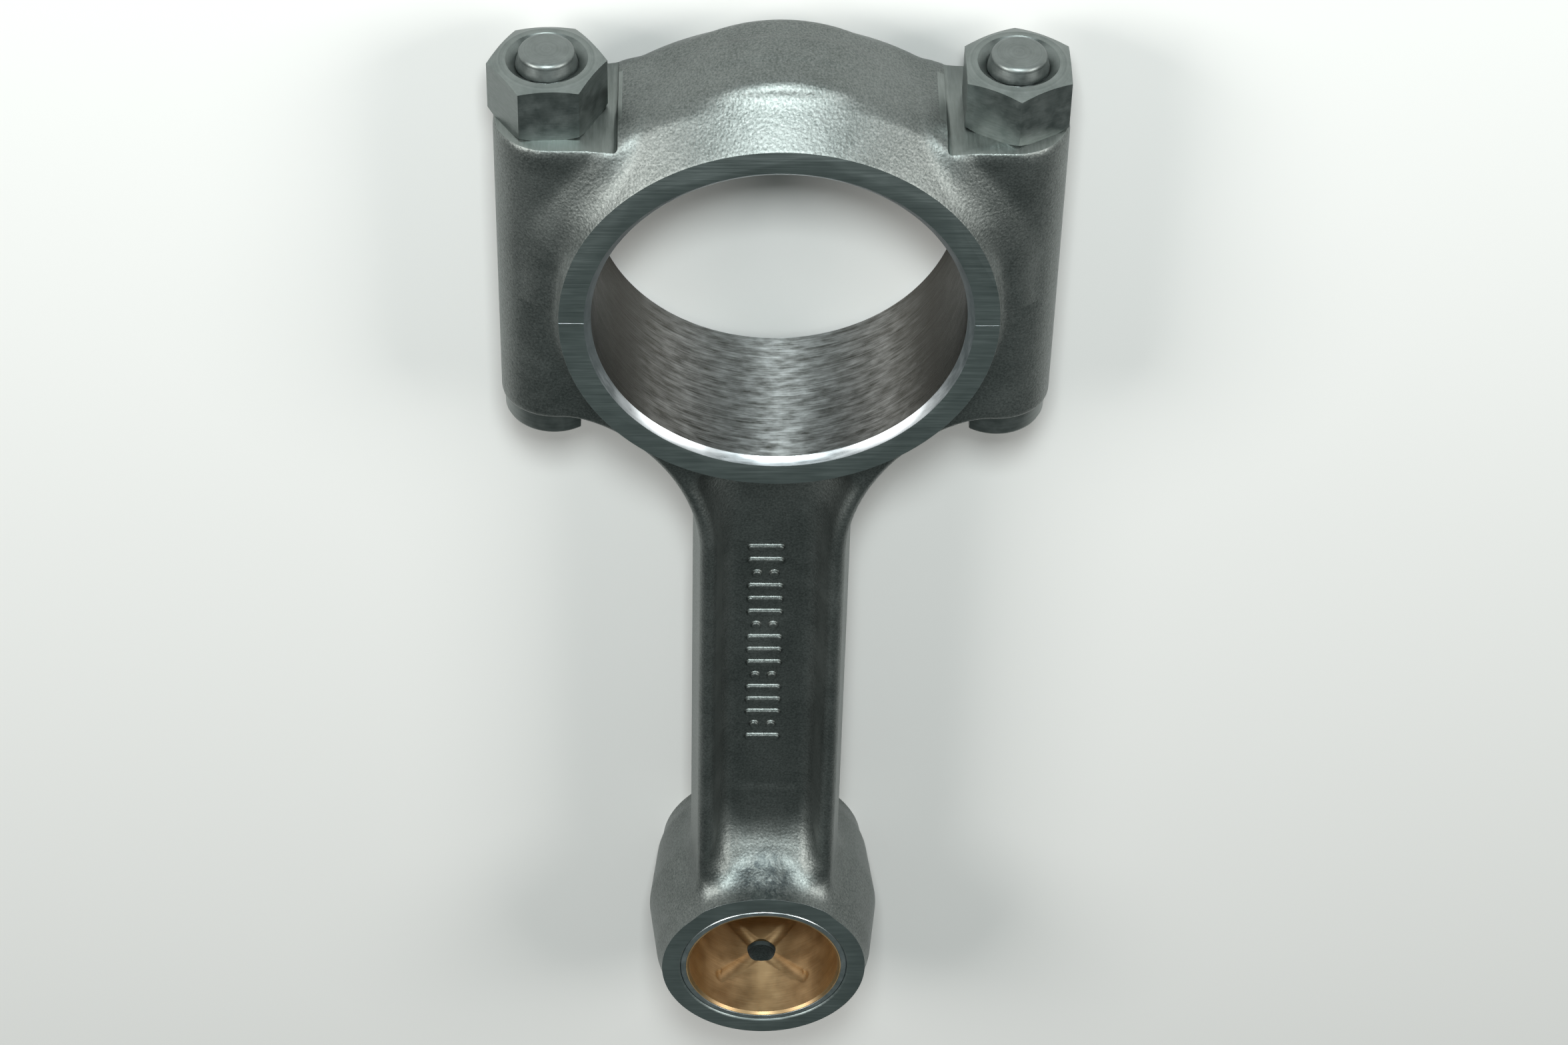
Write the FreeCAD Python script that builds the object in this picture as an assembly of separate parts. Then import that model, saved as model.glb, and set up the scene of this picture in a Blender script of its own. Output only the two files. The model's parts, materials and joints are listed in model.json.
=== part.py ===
"""Connecting rod of a small diesel engine, lying flat on its machined side faces.

+Z is the axis of both bores, +Y runs from the small end to the cap, X crosses the
two cap bolts, and the origin is the centre of the big-end housing bore.  All
lengths are in millimetres.
"""
import FreeCAD, Part
import math
import os

from FreeCAD import Vector

# Whole rod
CENTRE_DISTANCE = 186.0
THICKNESS = 36.5            # over the machined side faces, the same at both ends
FORGING_THICKNESS = 26.0    # over the flanges, shoulders and bolt bosses
FORGING_DRAFT = math.radians(7.0)

# Big end
HOUSING_BORE_D = 70.0
HOUSING_CHAMFER = 1.3
SIDE_RING_D = 82.0          # machined thrust ring around the housing bore
SHOULDER_D = 94.0           # forged outside of the rod half
CAP_CROWN_D = 96.4          # forged outside of the cap half
CAP_CROWN_THICKNESS = 20.8  # top of the crown, above the slopes
CAP_HUMP_Y = 51.0           # top of the hump in the middle of the crown
CAP_HUMP_R = 31.4
CAP_HUMP_THICKNESS = 18.8

# Cap joint
BOLT_PITCH = 85.4
BOLT_D = 12.0
ROD_HOLE_CLEARANCE = 0.02   # radial, bolts fitted in the rod half
CAP_HOLE_CLEARANCE = 0.08   # radial, cap slides on the bolts
BOSS_WIDTH = 105.4          # over the outsides of the two bolt bosses
BOSS_INNER_X = 29.0         # inside of a boss, hidden in the ring
BOSS_CORNER_R = 10.5
NUT_SEAT_Y = 36.5
NUT_SEAT_WALL_X = 29.8      # milled wall beside the nut seat
HEAD_SEAT_Y = -30.0
SPLIT_Y = 0.0

# Bolts and nuts
HEAD_D = 19.0
HEAD_HEIGHT = 6.3
HEAD_EDGE = 0.6             # chamfer under the head
HEAD_FLAT_INSET = 5.2       # bolt axis to the flat that stops the head turning
BOLT_TIP_Y = 50.0
BOLT_TIP_CHAMFER = 0.7
BOLT_DOME_HEIGHT = 0.4
NUT_ACROSS_FLATS = 19.0
NUT_HEIGHT = 11.4
NUT_COUNTERSINK_D = 14.0
NUT_THREAD_CLEARANCE = 0.08 # radial
NUT_FACE_INSET = 0.5        # end face to the flats, left by the chamfer
NUT_CHAMFER = math.radians(30)
NUT_FOOT_EDGE = 0.4
LEFT_NUT_TURN = -2.9        # degrees from +X to a corner of the hexagon, towards +Z
RIGHT_NUT_TURN = 29.6

# Beam
BEAM_WIDTH = 31.6
WEB_THICKNESS = 8.0
FLANGE_TOP_WIDTH = 4.4      # flat of a flange, at the face of the forging
RECESS_SIDE_RUN = 3.0       # how far the recess side leans in, down to the web
RECESS_TO_RING = 5.0        # from the thrust ring to the recess, at the face of the forging
RECESS_TOP_RUN = 4.0        # how far the recess end by the ring leans in
RECESS_TO_SMALL_END = 2.0
SHOULDER_FILLET_R = 40.0    # beam to shoulder, seen along the bore axis
NECK_FILLET_R = 10.0        # beam to small end, seen along the bore axis

# Small end
SMALL_END_D = 49.4          # forged boss at its widest, on the middle plane
SMALL_END_FACE_D = 45.0
SMALL_END_RAMP = 10.0       # length of the slope from the web up to the small end
BUSH_OUTER_D = 36.0
LINING_OUTER_D = 33.4
PIN_BORE_D = 32.0
BUSH_RECESS = 0.25          # bush ends below the side faces
LINING_CHAMFER = 0.5
OIL_HOLE_D = 6.0
GROOVE_WIDTH = 2.4
GROOVE_DEPTH = 0.4
GROOVE_REACH = 15.0         # from the oil hole to the end of a groove

HALF = THICKNESS / 2
FORGING_HALF = FORGING_THICKNESS / 2
FLANGE_LEAN = FORGING_HALF * math.tan(FORGING_DRAFT)
SMALL_END_Y = -CENTRE_DISTANCE
BOLT_X = BOLT_PITCH / 2
FAR = 300.0                 # longer than the rod, for cutting tools
OVER = 1.0                  # cutting tools reach this far past a face
ORIGIN = Vector(0, 0, 0)
X_AXIS = Vector(1, 0, 0)
Y_AXIS = Vector(0, 1, 0)
Z_AXIS = Vector(0, 0, 1)


def z_cylinder(radius, half_height, y=0.0):
    """Cylinder along Z, centred on the middle plane."""
    return Part.makeCylinder(radius, 2 * half_height, Vector(0, y, -half_height))


def drafted_disc(middle_r, face_r, half_height, y):
    """Disc about Z that is widest on the middle plane and leans in to both faces."""
    upper = Part.makeCone(middle_r, face_r, half_height, Vector(0, y, 0), Z_AXIS)
    return upper.fuse(upper.mirror(ORIGIN, Z_AXIS))


def y_cylinder(radius, y_low, y_high, x):
    """Cylinder along Y, beside the rod's centre line."""
    return Part.makeCylinder(radius, y_high - y_low, Vector(x, y_low, 0), Y_AXIS)


def box(x_low, x_high, y_low, y_high, z_low, z_high):
    """Box between two corners."""
    return Part.makeBox(x_high - x_low, y_high - y_low, z_high - z_low, Vector(x_low, y_low, z_low))


def polygon_face(points):
    """Flat face with straight edges through the points."""
    return Part.Face(Part.makePolygon(points + points[:1]))


def chamfered_bore(radius, half_height, chamfer, y=0.0):
    """Cutting tool for a bore along Z with a 45 degree chamfer at both faces."""
    profile = [
        Vector(0, y, -half_height - OVER),
        Vector(radius + chamfer + OVER, y, -half_height - OVER),
        Vector(radius, y, -half_height + chamfer),
        Vector(radius, y, half_height - chamfer),
        Vector(radius + chamfer + OVER, y, half_height + OVER),
        Vector(0, y, half_height + OVER),
    ]
    return polygon_face(profile).revolve(Vector(0, y, 0), Z_AXIS, 360)


def both_sides(shape):
    """The shape and its mirror image across the rod's centre plane, fused."""
    return shape.fuse(shape.mirror(ORIGIN, X_AXIS))


def arc_between(centre, radius, start, end, z):
    """Shorter arc about a centre, from one point to the other, at height z."""
    to_start = math.atan2(start[1] - centre[1], start[0] - centre[0])
    to_end = math.atan2(end[1] - centre[1], end[0] - centre[0])
    sweep = (to_end - to_start + math.pi) % (2 * math.pi) - math.pi
    middle = to_start + sweep / 2
    points = [start, (centre[0] + radius * math.cos(middle), centre[1] + radius * math.sin(middle)), end]
    return Part.Arc(*[Vector(x, y, z) for x, y in points]).toShape()


def line_between(start, end, z):
    """Straight edge between two points at height z."""
    return Part.makeLine(Vector(start[0], start[1], z), Vector(end[0], end[1], z))


def flare_centre():
    """Centre of the fillet between the beam and the shoulder, on the +X side."""
    x = BEAM_WIDTH / 2 + SHOULDER_FILLET_R
    reach = SHOULDER_D / 2 + SHOULDER_FILLET_R
    return x, -math.sqrt(reach ** 2 - x ** 2)


def neck_centre():
    """Centre of the fillet between the beam and the small end, on the +X side."""
    x = BEAM_WIDTH / 2 + NECK_FILLET_R
    reach = SMALL_END_D / 2 + NECK_FILLET_R
    return x, SMALL_END_Y + math.sqrt(reach ** 2 - x ** 2)


def point_towards(start, target, distance):
    """Point at a distance from the start, on the way to the target."""
    gap = math.dist(start, target)
    return tuple(a + (b - a) * distance / gap for a, b in zip(start, target))


def mirrored(point):
    """The same point on the -X side."""
    return -point[0], point[1]


def beam_wire(inset, z):
    """Outline of the beam with both flares, inset from the forging's outside."""
    flare = flare_centre()
    neck = neck_centre()
    small_end = (0, SMALL_END_Y)
    beam_x = BEAM_WIDTH / 2 - inset
    flare_r = SHOULDER_FILLET_R + inset
    neck_r = NECK_FILLET_R + inset
    top = point_towards(flare, (0, 0), flare_r)
    bottom = point_towards(neck, small_end, neck_r)
    edges = [
        arc_between(flare, flare_r, top, (beam_x, flare[1]), z),
        line_between((beam_x, flare[1]), (beam_x, neck[1]), z),
        arc_between(neck, neck_r, (beam_x, neck[1]), bottom, z),
        line_between(bottom, mirrored(bottom), z),
        arc_between(mirrored(neck), neck_r, mirrored(bottom), (-beam_x, neck[1]), z),
        line_between((-beam_x, neck[1]), (-beam_x, flare[1]), z),
        arc_between(mirrored(flare), flare_r, (-beam_x, flare[1]), mirrored(top), z),
        line_between(mirrored(top), top, z),
    ]
    return Part.Wire(edges)


def recess_wire(inset, big_r, small_r, z):
    """Outline of the hollow in the beam, between arcs about the two bore centres."""
    flare = flare_centre()
    small_end = (0, SMALL_END_Y)
    beam_x = BEAM_WIDTH / 2 - inset
    flare_r = SHOULDER_FILLET_R + inset
    top = circle_crossing((0, 0), big_r, flare, flare_r)
    bottom = (beam_x, SMALL_END_Y + math.sqrt(small_r ** 2 - beam_x ** 2))
    edges = [
        arc_between(flare, flare_r, top, (beam_x, flare[1]), z),
        line_between((beam_x, flare[1]), bottom, z),
        arc_between(small_end, small_r, bottom, mirrored(bottom), z),
        line_between(mirrored(bottom), (-beam_x, flare[1]), z),
        arc_between(mirrored(flare), flare_r, (-beam_x, flare[1]), mirrored(top), z),
        arc_between((0, 0), big_r, mirrored(top), top, z),
    ]
    return Part.Wire(edges)


def circle_crossing(centre_a, radius_a, centre_b, radius_b):
    """Crossing of two circles that lies nearer to the rod's centre line."""
    dx = centre_b[0] - centre_a[0]
    dy = centre_b[1] - centre_a[1]
    gap = math.hypot(dx, dy)
    along = (radius_a ** 2 - radius_b ** 2 + gap ** 2) / (2 * gap)
    across = math.sqrt(radius_a ** 2 - along ** 2)
    candidates = []
    for side in (1, -1):
        x = centre_a[0] + (along * dx - side * across * dy) / gap
        y = centre_a[1] + (along * dy + side * across * dx) / gap
        candidates.append((x, y))
    return min(candidates, key=lambda point: abs(point[0]))


def beam():
    """Drafted beam, from the shoulder of the big end to the small-end boss."""
    upper = Part.makeLoft([beam_wire(0, 0), beam_wire(FLANGE_LEAN, FORGING_HALF)], True, True)
    return upper.fuse(upper.mirror(ORIGIN, Z_AXIS))


def web_recess():
    """Cutting tool for the hollow between the flanges on the upper face."""
    rim_inset = FLANGE_LEAN + FLANGE_TOP_WIDTH
    rim_big_r = SIDE_RING_D / 2 + RECESS_TO_RING
    rim_small_r = SMALL_END_D / 2 + RECESS_TO_SMALL_END
    floor_small_r = rim_small_r + SMALL_END_RAMP
    slope = RECESS_SIDE_RUN / (FORGING_HALF - WEB_THICKNESS / 2)
    floor_inset = rim_inset + RECESS_SIDE_RUN
    floor = recess_wire(floor_inset, rim_big_r + RECESS_TOP_RUN, floor_small_r, WEB_THICKNESS / 2)
    top = recess_wire(rim_inset - OVER * slope, rim_big_r - OVER, rim_small_r - OVER, FORGING_HALF + OVER)
    return Part.makeLoft([floor, top], True, True)


def boss_section(y):
    """Section of a bolt boss across the bolt, with rounded outer corners."""
    outer = BOSS_WIDTH / 2
    inner = BOSS_INNER_X
    corner_x = outer - BOSS_CORNER_R
    corner_z = FORGING_HALF - BOSS_CORNER_R
    mid = BOSS_CORNER_R * math.cos(math.pi / 4)
    upper = Part.Arc(
        Vector(corner_x, y, FORGING_HALF),
        Vector(corner_x + mid, y, corner_z + mid),
        Vector(outer, y, corner_z),
    ).toShape()
    lower = Part.Arc(
        Vector(outer, y, -corner_z),
        Vector(corner_x + mid, y, -corner_z - mid),
        Vector(corner_x, y, -FORGING_HALF),
    ).toShape()
    edges = [
        Part.makeLine(Vector(inner, y, FORGING_HALF), Vector(corner_x, y, FORGING_HALF)),
        upper,
        Part.makeLine(Vector(outer, y, corner_z), Vector(outer, y, -corner_z)),
        lower,
        Part.makeLine(Vector(corner_x, y, -FORGING_HALF), Vector(inner, y, -FORGING_HALF)),
        Part.makeLine(Vector(inner, y, -FORGING_HALF), Vector(inner, y, FORGING_HALF)),
    ]
    return Part.Face(Part.Wire(edges))


def boss(y_low, y_high):
    """Both bolt bosses between two heights along the rod."""
    return both_sides(boss_section(y_low).extrude(Vector(0, y_high - y_low, 0)))


def bolt_holes(clearance):
    """Cutting tools for both bolt holes."""
    return both_sides(y_cylinder(BOLT_D / 2 + clearance, -FAR / 2, FAR / 2, BOLT_X))


def oil_hole():
    """Cutting tool for the oil hole through the end of the small end."""
    return Part.makeCylinder(OIL_HOLE_D / 2, SMALL_END_D, Vector(0, SMALL_END_Y, 0), -Y_AXIS)


def half_space(sign):
    """Everything on one side of the split plane."""
    if sign > 0:
        return box(-FAR, FAR, SPLIT_Y, FAR, -FAR, FAR)
    return box(-FAR, FAR, -FAR, SPLIT_Y, -FAR, FAR)


def rod_forging():
    """Beam, rod half of the big end, and the small end, in one piece."""
    ring = z_cylinder(SIDE_RING_D / 2, HALF)
    shoulder = drafted_disc(SHOULDER_D / 2, SHOULDER_D / 2 - FLANGE_LEAN, FORGING_HALF, 0)
    big_end = ring.fuse(shoulder).common(half_space(-1)).fuse(boss(HEAD_SEAT_Y, SPLIT_Y))
    small_end = drafted_disc(SMALL_END_D / 2, SMALL_END_FACE_D / 2, HALF, SMALL_END_Y)
    recess = web_recess()
    body = big_end.fuse(beam()).cut(recess).cut(recess.mirror(ORIGIN, Z_AXIS)).fuse(small_end)
    body = body.cut(chamfered_bore(HOUSING_BORE_D / 2, HALF, HOUSING_CHAMFER))
    body = body.cut(chamfered_bore(BUSH_OUTER_D / 2, HALF, BUSH_RECESS, SMALL_END_Y))
    body = body.cut(bolt_holes(ROD_HOLE_CLEARANCE)).cut(oil_hole())
    return body.removeSplitter()


def bearing_cap():
    """Cap half of the big end, with a humped crown and two milled nut seats."""
    top_half = CAP_CROWN_THICKNESS / 2
    crown_r = CAP_CROWN_D / 2
    ring_r = SIDE_RING_D / 2
    profile = [
        Vector(0, 0, HALF),
        Vector(ring_r, 0, HALF),
        Vector(crown_r, 0, top_half),
        Vector(crown_r, 0, -top_half),
        Vector(ring_r, 0, -HALF),
        Vector(0, 0, -HALF),
    ]
    crown = polygon_face(profile).revolve(ORIGIN, Z_AXIS, 360).common(half_space(1))
    hump = z_cylinder(CAP_HUMP_R, CAP_HUMP_THICKNESS / 2, CAP_HUMP_Y - CAP_HUMP_R)
    hump = hump.common(half_space(1))
    body = crown.fuse(hump).fuse(boss(SPLIT_Y, NUT_SEAT_Y))
    seat_cut = box(NUT_SEAT_WALL_X, FAR, NUT_SEAT_Y, FAR, -FAR, FAR)
    body = body.cut(both_sides(seat_cut))
    body = body.cut(chamfered_bore(HOUSING_BORE_D / 2, HALF, HOUSING_CHAMFER))
    body = body.cut(bolt_holes(CAP_HOLE_CLEARANCE))
    return body.removeSplitter()


def bolt(side):
    """Cap bolt: a D-shaped head, a fitted shank and a domed tip."""
    radius = BOLT_D / 2
    head_r = HEAD_D / 2
    head_low = HEAD_SEAT_Y - HEAD_HEIGHT
    chamfer_start = BOLT_TIP_Y - BOLT_DOME_HEIGHT - BOLT_TIP_CHAMFER
    head_profile = [
        Vector(0, head_low, 0),
        Vector(head_r - HEAD_EDGE, head_low, 0),
        Vector(head_r, head_low + HEAD_EDGE, 0),
        Vector(head_r, HEAD_SEAT_Y, 0),
        Vector(0, HEAD_SEAT_Y, 0),
    ]
    head = polygon_face(head_profile).revolve(ORIGIN, Y_AXIS, 360)
    head = head.cut(box(-FAR, -HEAD_FLAT_INSET, -FAR, FAR, -FAR, FAR))
    shank_profile = [
        Vector(0, HEAD_SEAT_Y, 0),
        Vector(radius, HEAD_SEAT_Y, 0),
        Vector(radius, chamfer_start, 0),
        Vector(radius - BOLT_TIP_CHAMFER, chamfer_start + BOLT_TIP_CHAMFER, 0),
        Vector(0, chamfer_start + BOLT_TIP_CHAMFER, 0),
    ]
    shank = polygon_face(shank_profile).revolve(ORIGIN, Y_AXIS, 360)
    dome_face_r = radius - BOLT_TIP_CHAMFER
    dome_r = (dome_face_r ** 2 + BOLT_DOME_HEIGHT ** 2) / (2 * BOLT_DOME_HEIGHT)
    dome = Part.makeSphere(dome_r, Vector(0, BOLT_TIP_Y - dome_r, 0))
    dome = dome.common(y_cylinder(dome_face_r, chamfer_start, BOLT_TIP_Y + OVER, 0))
    body = head.fuse(shank).fuse(dome).removeSplitter()
    if side < 0:
        body = body.mirror(ORIGIN, X_AXIS)
    return body.translated(Vector(side * BOLT_X, 0, 0))


def nut(side, turn):
    """Hexagon nut, chamfered on top, seated on the cap."""
    corner_r = NUT_ACROSS_FLATS / math.sqrt(3)
    flat_r = NUT_ACROSS_FLATS / 2
    chamfer_drop = (corner_r - flat_r + NUT_FACE_INSET) * math.tan(NUT_CHAMFER)
    top = NUT_SEAT_Y + NUT_HEIGHT
    corners = []
    for index in range(6):
        angle = math.radians(60 * index + turn)
        corners.append(Vector(corner_r * math.cos(angle), NUT_SEAT_Y, corner_r * math.sin(angle)))
    body = polygon_face(corners).extrude(Vector(0, NUT_HEIGHT, 0))
    envelope = [
        Vector(0, NUT_SEAT_Y, 0),
        Vector(corner_r - NUT_FOOT_EDGE, NUT_SEAT_Y, 0),
        Vector(corner_r, NUT_SEAT_Y + NUT_FOOT_EDGE, 0),
        Vector(corner_r, top - chamfer_drop, 0),
        Vector(flat_r - NUT_FACE_INSET, top, 0),
        Vector(0, top, 0),
    ]
    body = body.common(polygon_face(envelope).revolve(ORIGIN, Y_AXIS, 360))
    bore_r = BOLT_D / 2 + NUT_THREAD_CLEARANCE
    sink_r = NUT_COUNTERSINK_D / 2
    bore_profile = [
        Vector(0, NUT_SEAT_Y - OVER, 0),
        Vector(bore_r, NUT_SEAT_Y - OVER, 0),
        Vector(bore_r, top - (sink_r - bore_r), 0),
        Vector(sink_r + OVER, top + OVER, 0),
        Vector(0, top + OVER, 0),
    ]
    body = body.cut(polygon_face(bore_profile).revolve(ORIGIN, Y_AXIS, 360))
    return body.translated(Vector(side * BOLT_X, 0, 0))


def bush_steel_back():
    """Steel shell of the wrapped bush, pressed into the small end."""
    half_length = HALF - BUSH_RECESS
    body = z_cylinder(BUSH_OUTER_D / 2, half_length, SMALL_END_Y)
    body = body.cut(z_cylinder(LINING_OUTER_D / 2, HALF, SMALL_END_Y))
    return body.cut(oil_hole())


def bush_bronze_lining():
    """Bronze lining with its chamfers, oil hole and crossed oil grooves."""
    half_length = HALF - BUSH_RECESS
    body = z_cylinder(LINING_OUTER_D / 2, half_length, SMALL_END_Y)
    body = body.cut(chamfered_bore(PIN_BORE_D / 2, half_length, LINING_CHAMFER, SMALL_END_Y))
    body = body.cut(oil_hole())
    for lean in (45, -45):
        body = body.cut(oil_groove(lean))
    return body


def oil_groove(lean):
    """Shallow groove across the oil hole, following the curve of the bore."""
    band_r = PIN_BORE_D / 2 + GROOVE_DEPTH
    band = z_cylinder(band_r, HALF, SMALL_END_Y)
    side = GROOVE_WIDTH / 2
    slot = box(-side, side, SMALL_END_Y - band_r, SMALL_END_Y, -GROOVE_REACH, GROOVE_REACH)
    slot.rotate(Vector(0, SMALL_END_Y, 0), Y_AXIS, lean)
    return band.common(slot)


os.makedirs("parts", exist_ok=True)
NODES = {
    "rod_forging": rod_forging(),
    "bearing_cap": bearing_cap(),
    "left_bolt": bolt(-1),
    "right_bolt": bolt(1),
    "left_nut": nut(-1, LEFT_NUT_TURN),
    "right_nut": nut(1, RIGHT_NUT_TURN),
    "bush_steel_back": bush_steel_back(),
    "bush_bronze_lining": bush_bronze_lining(),
}
for name, shape in NODES.items():
    solids = shape.Solids
    print(name, "valid", shape.isValid(), "solids", len(solids), "volume", round(shape.Volume))
    shape.exportStep("parts/" + name + ".step")
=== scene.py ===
"""Looks of a connecting rod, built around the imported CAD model.

The forged pieces are shaped as distance fields, so that every forging radius flows
into the next one, and then machined with exact cuts: side faces, bores, nut seats
and the split.  Lengths are in millimetres until a mesh is made.
"""
import json
import math

import bmesh
import bpy
import numpy as np
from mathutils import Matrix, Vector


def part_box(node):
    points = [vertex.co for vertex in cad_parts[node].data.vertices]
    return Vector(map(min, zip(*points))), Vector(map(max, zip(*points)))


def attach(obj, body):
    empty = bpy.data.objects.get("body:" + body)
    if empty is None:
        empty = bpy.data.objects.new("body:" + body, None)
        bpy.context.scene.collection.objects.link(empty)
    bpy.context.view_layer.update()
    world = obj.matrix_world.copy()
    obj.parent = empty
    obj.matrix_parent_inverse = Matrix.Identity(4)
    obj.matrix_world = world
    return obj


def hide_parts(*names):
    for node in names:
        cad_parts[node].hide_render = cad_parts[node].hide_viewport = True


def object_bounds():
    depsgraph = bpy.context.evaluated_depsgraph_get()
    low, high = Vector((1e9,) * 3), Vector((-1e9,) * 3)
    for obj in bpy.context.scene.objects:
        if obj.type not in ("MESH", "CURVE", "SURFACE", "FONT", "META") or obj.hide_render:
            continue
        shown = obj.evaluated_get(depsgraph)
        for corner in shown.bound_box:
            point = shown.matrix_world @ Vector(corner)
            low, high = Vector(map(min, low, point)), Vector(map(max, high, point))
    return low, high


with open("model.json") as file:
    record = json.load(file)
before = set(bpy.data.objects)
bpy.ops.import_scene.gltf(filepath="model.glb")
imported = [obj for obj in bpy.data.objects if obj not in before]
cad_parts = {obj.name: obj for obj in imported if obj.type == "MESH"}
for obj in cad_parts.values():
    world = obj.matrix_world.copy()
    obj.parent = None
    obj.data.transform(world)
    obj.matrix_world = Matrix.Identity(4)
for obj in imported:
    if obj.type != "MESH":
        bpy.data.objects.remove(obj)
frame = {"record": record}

import openvdb
from mathutils import Matrix, Vector

MM = 0.001

cad_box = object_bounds()

# Sizes read from the frame, in millimetres
mounts = {mount["name"]: mount for mount in frame["record"]["mounts"]}


def node_box(node):
    """Lowest and highest corners of a CAD node, in millimetres."""
    low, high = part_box(node)
    return np.array(low) / MM, np.array(high) / MM


rod_low, rod_high = node_box("rod_forging")
nut_low, nut_high = node_box("left_nut")
bolt_low, bolt_high = node_box("left_bolt")
cap_high = node_box("bearing_cap")[1]
back_high = node_box("bush_steel_back")[1]
lining_high = node_box("bush_bronze_lining")[1]

HALF = rod_high[2]                                    # side faces
SMALL_Y = mounts["small_end_bore"]["pos_m"][1] / MM   # centre of the small end
BIG_BORE_R = mounts["big_end_bore"]["dims"]["r_mm"]
PIN_R = mounts["small_end_bore"]["dims"]["r_mm"]
BUSH_R = back_high[0]
LINING_R = lining_high[0]
BOSS_X = cap_high[0]                                  # outside of the bolt bosses
SEAT_Y = nut_low[1]
NUT_TOP_Y = nut_high[1]
TIP_Y = bolt_high[1]
HEAD_LOW_Y = bolt_low[1]
CROWN_Y = cap_high[1]

# Outside of the forging
FORGING_HALF = 13.0         # flanges, shoulders and bolt bosses
DRAFT = math.tan(math.radians(7.0))
RING_R = 41.0
SHOULDER_R = 47.0
RING_LEAN = 0.1             # of the thrust ring's wall
BEAM_HALF = 15.8
SHOULDER_FILLET = 40.0
NECK_FILLET = 10.0
SMALL_R = 24.7              # small end, at the middle plane
SMALL_FACE_R = 22.5         # and at its side faces
BOSS_CORNER = 10.5
BOSS_FOOT_Y = -31.2         # ends of the rod's bolt bosses, the second past the split
BOSS_TOP_Y = 3.2
FORGING_EDGE = 2.0          # radius along the outer edges
RING_FOOT = 3.0             # fillets at the foot of the thrust ring and the small end
SMALL_FOOT = 4.5

# Web between the flanges, and the ramp from it to the small end
WEB_HALF = 4.0
RECESS_INSET = 4.5          # flange width at its face
RECESS_LEAN = 0.22          # sideways run of the recess wall for each mm of depth
RECESS_CORNER = 2.4         # radius between web and flange
RAMP_CORNER = 4.6           # growth of that radius along the ramp
FLARE_CORNER = 3.5          # and beside the big end
RAMP_FILLET = 11.5
FLARE_FILLET = 7.0
CLIMB_REACH = 40.0          # from the small end's centre to the start of the climb
CLIMB_RATE = 0.008
PAD_HALF = 7.2              # low pad at the foot of the ramp
PAD_REACH = 43.0
PAD_HEIGHT = 0.35
PAD_CROWN = 0.05

# Raised marks on the web
MARK_COUNT = 16
MARK_START_Y = -72.3
MARK_PITCH = 3.7
MARK_X = -1.1
MARK_HALF_LENGTH = 2.9
MARK_HALF_WIDTH = 0.72
MARK_HEIGHT = 0.6
MARK_EDGE = 0.28
MARK_ROOT = 0.6             # depth of the marks' solid below the web's surface
MARK_VOXEL = 0.2

# Cap
CROWN_R = 48.2
HUMP_R = 31.4               # hump in the middle of the crown
HUMP_Y = CROWN_Y - HUMP_R
HUMP_HALF = 9.4
HUMP_LAND = 0.3             # height of the flat band along its middle
LAND_HALF = 3.2
SLOPE = math.radians(49.1)  # of the slopes between crown and thrust ring
SHARE_START_Y = 2.0         # places between which the ring's step turns into the slope
SHARE_END_Y = 24.0

# Machining
BIG_CHAMFER = 1.3
PIN_CHAMFER = 0.3
SEAT_WALL_X = 29.8
SEAT_CORNER = 0.9           # left by the cutter
HEAD_SEAT_X = 36.8          # inner end of the seat under the bolt's head
HEAD_SEAT_Y = -30.0
SPLIT_GAP = 0.02            # half the hairline between rod and cap
OIL_HOLE_R = 3.15
CUT_REACH = 80.0            # cutting blocks end here, well outside the forging
CUT_END_Y = -260.0
EDGE_BREAK = 0.16           # small chamfer around the side faces

# Bush
LINING_CHAMFER = 0.5
BACK_CHAMFER = 0.25
GROOVE_ARC = 9.4            # reach of the oil grooves around the bore
GROOVE_Z = 9.8              # and along it
GROOVE_HALF_WIDTH = 1.6
GROOVE_DEPTH = 0.5
GROOVE_STEP = 0.3           # mesh size around the grooves
GROOVE_PATCH = 12.0         # half the side of the finely meshed patch

# Bolts and nuts
BOLT_X = (nut_high[0] + nut_low[0]) / -2
BOLT_R = 6.0
THREAD_PITCH = 1.5
THREAD_DEPTH = 0.85
THREAD_START_Y = 30.0
THREAD_END_Y = NUT_TOP_Y - 0.6
THREAD_FIT = 0.12           # radial gap between the threads of bolt and nut
THREAD_STEP = 0.12          # mesh size along the threads
TIP_R = 5.15                # below the tip's rounded edge
TIP_ROUND = 1.0             # radius of that edge
TIP_TAPER = 0.25
HEAD_R = 9.5
HEAD_FLAT_INSET = 5.2       # from the bolt's axis to the flat side of its head
NUT_FLAT_R = 9.5
NUT_CORNER_R = NUT_FLAT_R / math.cos(math.pi / 6)
NUT_CHAMFER_R = NUT_FLAT_R - 0.9
NUT_CHAMFER = math.radians(22)
NUT_TURN_LEFT = -2.9        # degrees
NUT_TURN_RIGHT = 29.6
SINK_R = 7.5                # countersink of the nut

# Meshes
VOXEL = 0.8                 # grid of the forgings
SLIVER = 0.002              # points closer than this are merged in clean

# Stain on the forging, and painted shade for the big-end bore
STAIN_PLACE = (0.0, -0.1640, 0.0125)    # mottled stain between the web and the small end, in metres
STAIN_COLOR = (0.055, 0.065, 0.067)
# painted shade and brown reflection: colour for the bore's sides towards the split
BORE_SHADE_BROWN = (0.055, 0.047, 0.036)

FORGED, SIDE_FACE, BORE, BRIGHT, SEAT = range(5)    # material slots of rod and cap


# ---------------------------------------------------------------- distance fields

def cut_round(a, b, radius):
    """Common part of two fields, with an edge of that radius."""
    corner = np.sqrt(np.maximum(radius + a, 0) ** 2 + np.maximum(radius + b, 0) ** 2)
    return np.minimum(-radius, np.maximum(a, b)) + corner


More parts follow.
